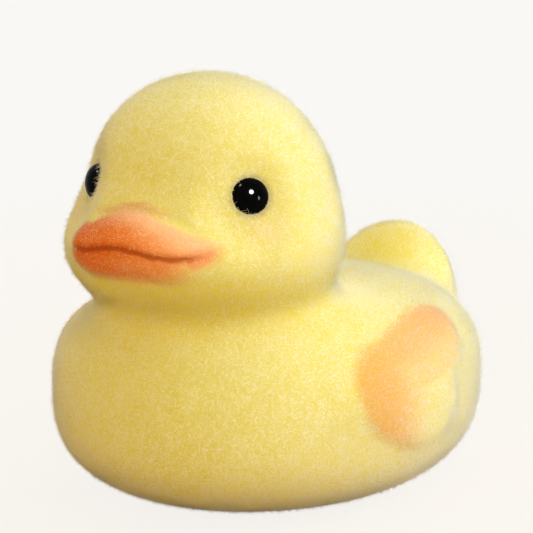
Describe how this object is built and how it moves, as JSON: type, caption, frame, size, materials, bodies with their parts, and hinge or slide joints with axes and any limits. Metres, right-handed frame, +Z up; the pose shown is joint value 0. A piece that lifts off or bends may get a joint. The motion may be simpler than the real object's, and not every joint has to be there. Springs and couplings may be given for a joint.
{
  "type": "squishy duck toy",
  "caption": "Soft squeezable duck toy with a flocked skin, round head, broad bill, raised wings, upturned tail and glossy bead eyes, standing on a flat foot.",
  "frame": {"origin": "on the ground below the middle of the torso, on the flat foot", "axes": "+Z up, +Y towards the tail, +X towards the duck's left"},
  "size_m": [0.067, 0.0992, 0.0711],
  "materials": {
    "flocked_skin": "short velvet flock, yellow, with an airbrushed orange bill, wing fronts and cheek blush",
    "eye_gloss": "polished black"
  },
  "bodies": {
    "root": {"body": "flocked_skin", "eye_left": "eye_gloss", "eye_right": "eye_gloss"}
  },
  "joints": []
}
